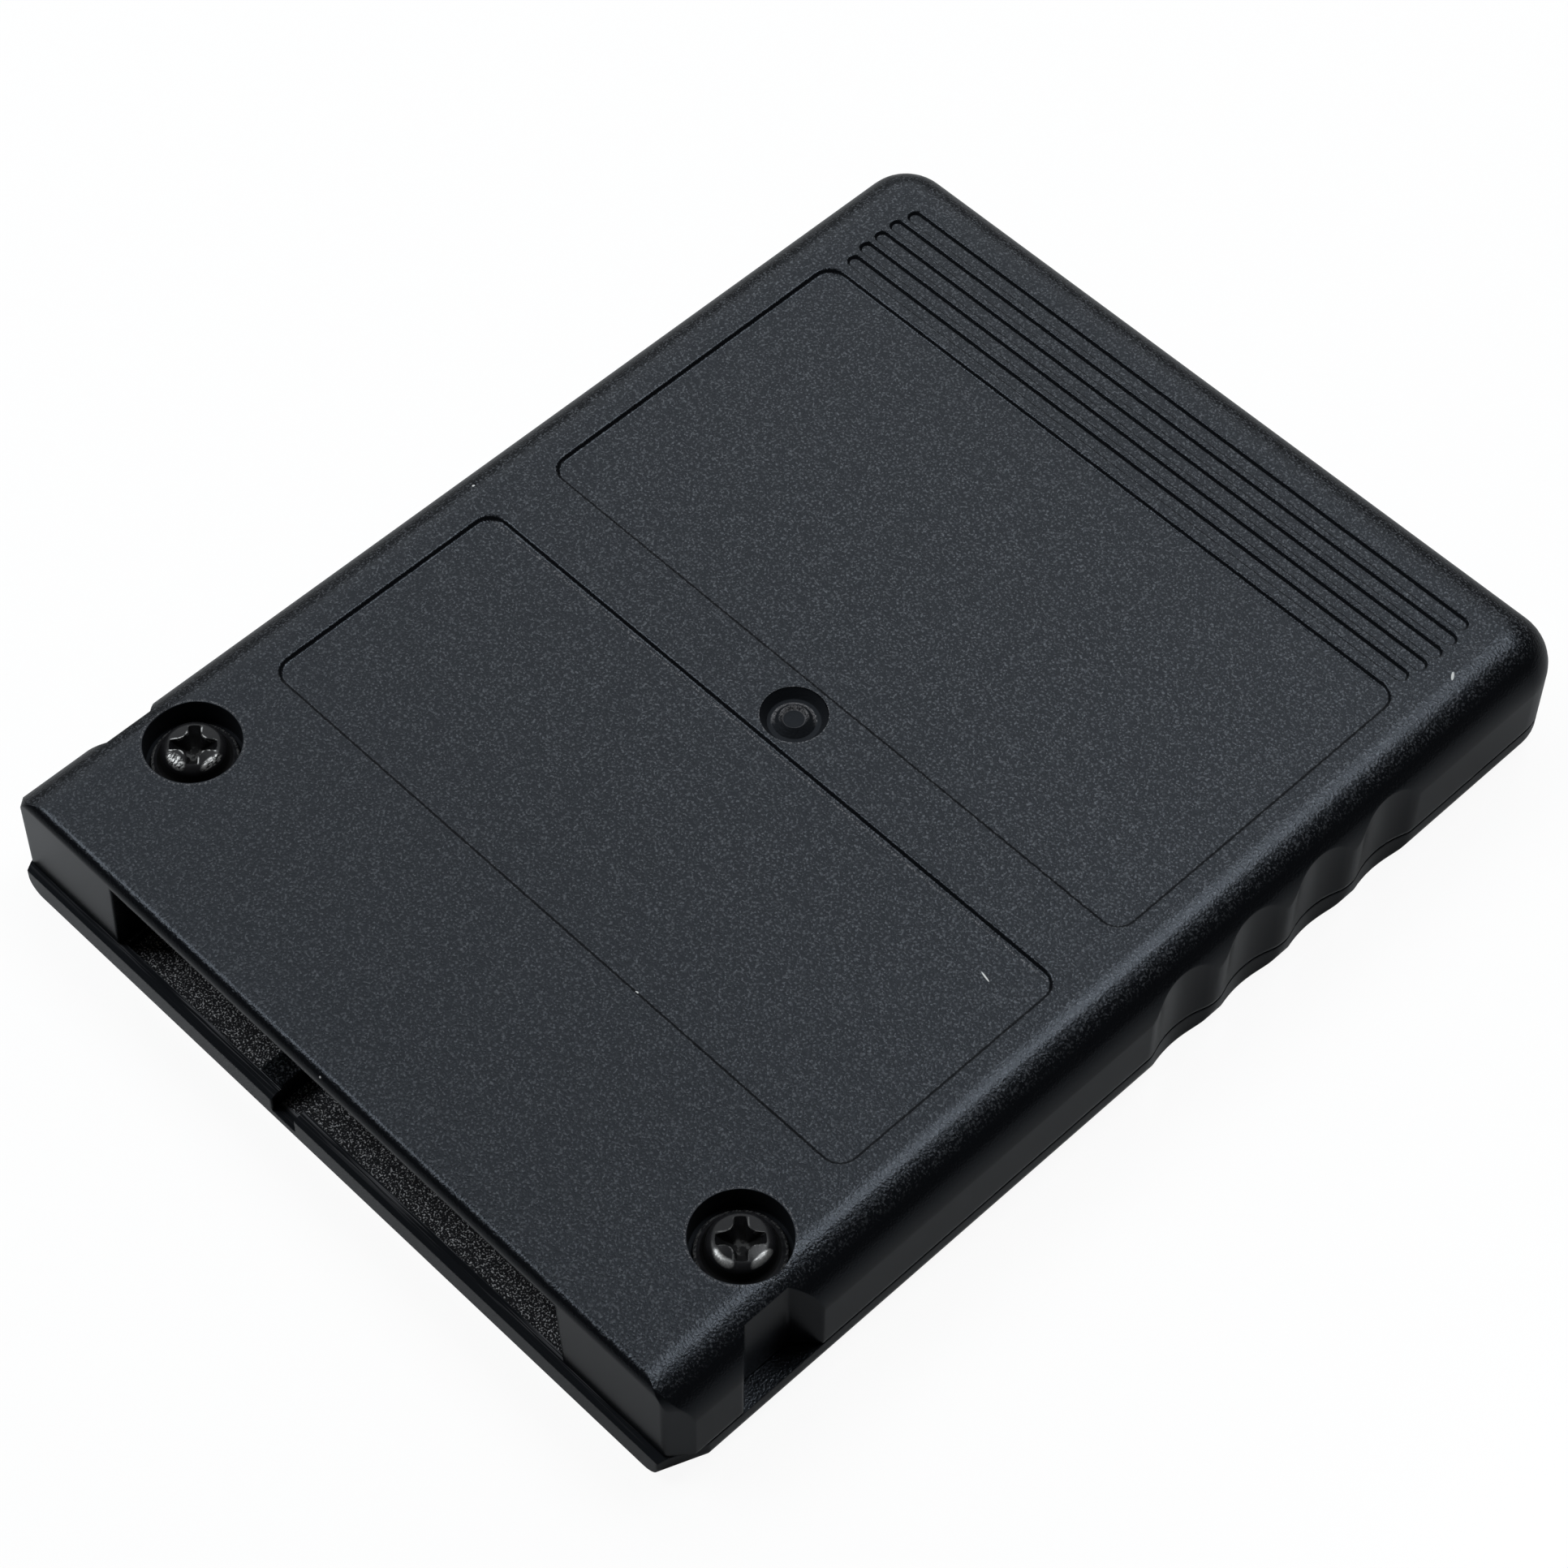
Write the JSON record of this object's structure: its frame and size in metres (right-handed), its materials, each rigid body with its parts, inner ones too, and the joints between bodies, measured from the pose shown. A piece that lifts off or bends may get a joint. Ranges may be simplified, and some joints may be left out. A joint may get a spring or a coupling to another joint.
{
  "type": "console memory card",
  "caption": "Flat dark moulded plastic memory card for a games console, screw side up, with recessed panels, finger grooves, fluted sides, counterbored screws and connector windows.",
  "frame": {"origin": "middle of the label face, on the plane that the card rests on", "axes": "+X across the card, +Y from the connector end to the grip end, +Z from the label face to the screw face"},
  "size_m": [0.042, 0.0558, 0.0066],
  "materials": {
    "cover_plastic": "fine spark-eroded grain on the screw face, satin walls",
    "screw_black": "glossy black, worn bright at the recess",
    "board_laminate": "green solder resist",
    "contact_plating": "gold plated",
    "package_epoxy": "moulded epoxy with tinned leads",
    "resonator_can": "bright can",
    "capacitor_ceramic": "tan ceramic with tinned ends",
    "resistor_glaze": "black glaze with tinned ends"
  },
  "bodies": {
    "root": {"back_cover": "cover_plastic", "front_cover": "cover_plastic", "case_screws": "screw_black", "circuit_board": "board_laminate", "flash_chip": "package_epoxy", "controller_chip": "package_epoxy", "regulator": "package_epoxy", "resonator": "resonator_can", "contact_1": "contact_plating", "contact_2": "contact_plating", "contact_3": "contact_plating", "contact_4": "contact_plating", "contact_5": "contact_plating", "contact_6": "contact_plating", "contact_7": "contact_plating", "contact_8": "contact_plating", "capacitor_1": "capacitor_ceramic", "resistor_1": "resistor_glaze", "capacitor_2": "capacitor_ceramic", "resistor_2": "resistor_glaze", "capacitor_3": "capacitor_ceramic", "resistor_3": "resistor_glaze", "capacitor_4": "capacitor_ceramic", "resistor_4": "resistor_glaze"}
  },
  "joints": []
}
